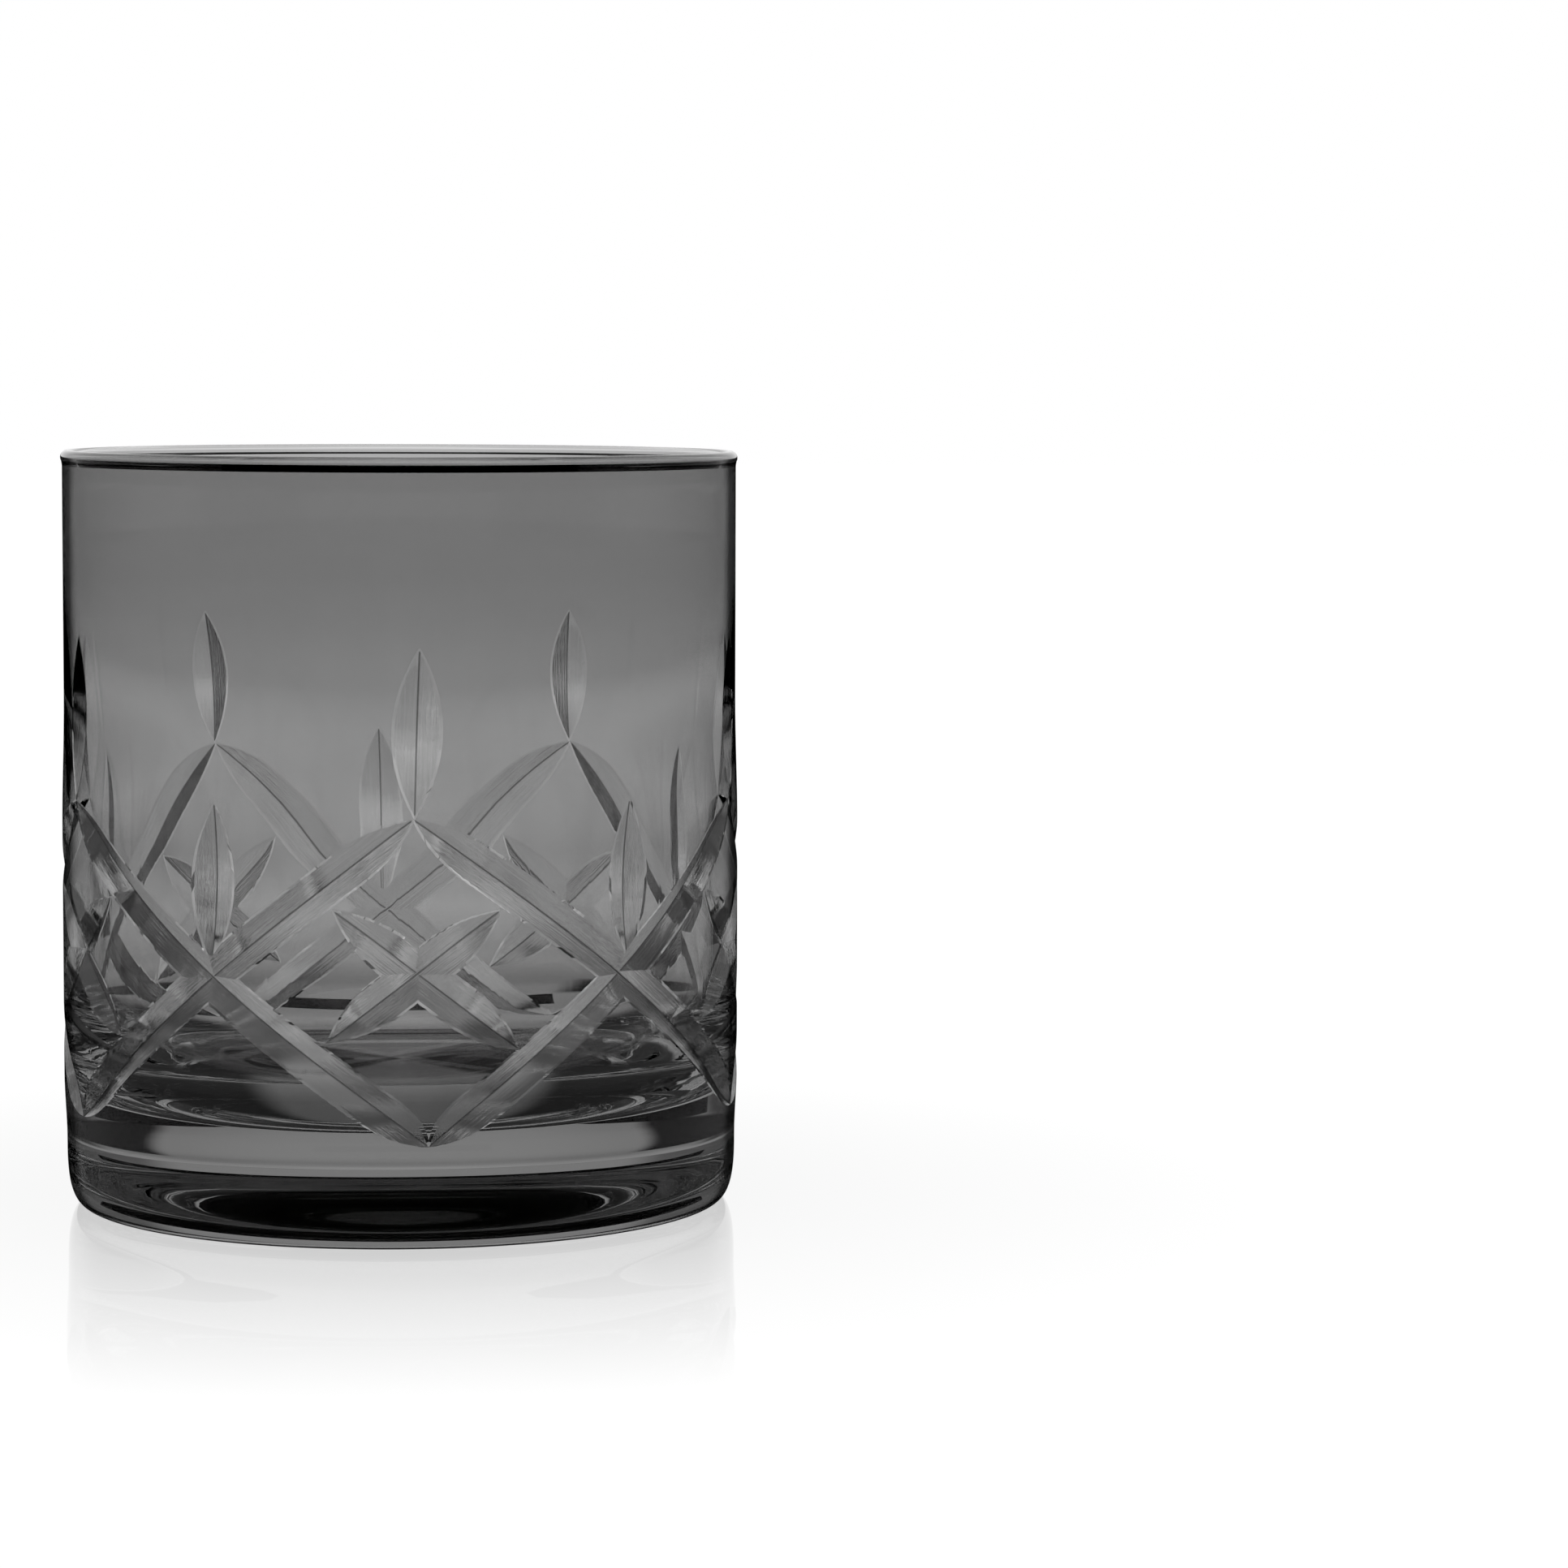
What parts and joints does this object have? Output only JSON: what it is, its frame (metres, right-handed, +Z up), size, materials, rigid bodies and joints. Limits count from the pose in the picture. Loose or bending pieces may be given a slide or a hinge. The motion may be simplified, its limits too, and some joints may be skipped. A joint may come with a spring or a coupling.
{
  "type": "whiskey tumbler",
  "caption": "Straight-sided old fashioned glass in smoke-grey crystal: thick base, rounded heel, beaded rim, wheel-cut diamonds with leaves and crosses round the lower wall.",
  "frame": {"origin": "centre of the base, on the surface that the glass stands on", "axes": "+Z up along the axis of the glass, -Y the front, where a peak of the cut zigzag stands, +X to the right"},
  "size_m": [0.0826, 0.0826, 0.092],
  "materials": {
    "smoked_crystal": "polished, neutral smoke grey, with ground V-shaped cuts"
  },
  "bodies": {
    "root": {"glass_tumbler": "smoked_crystal"}
  },
  "joints": []
}
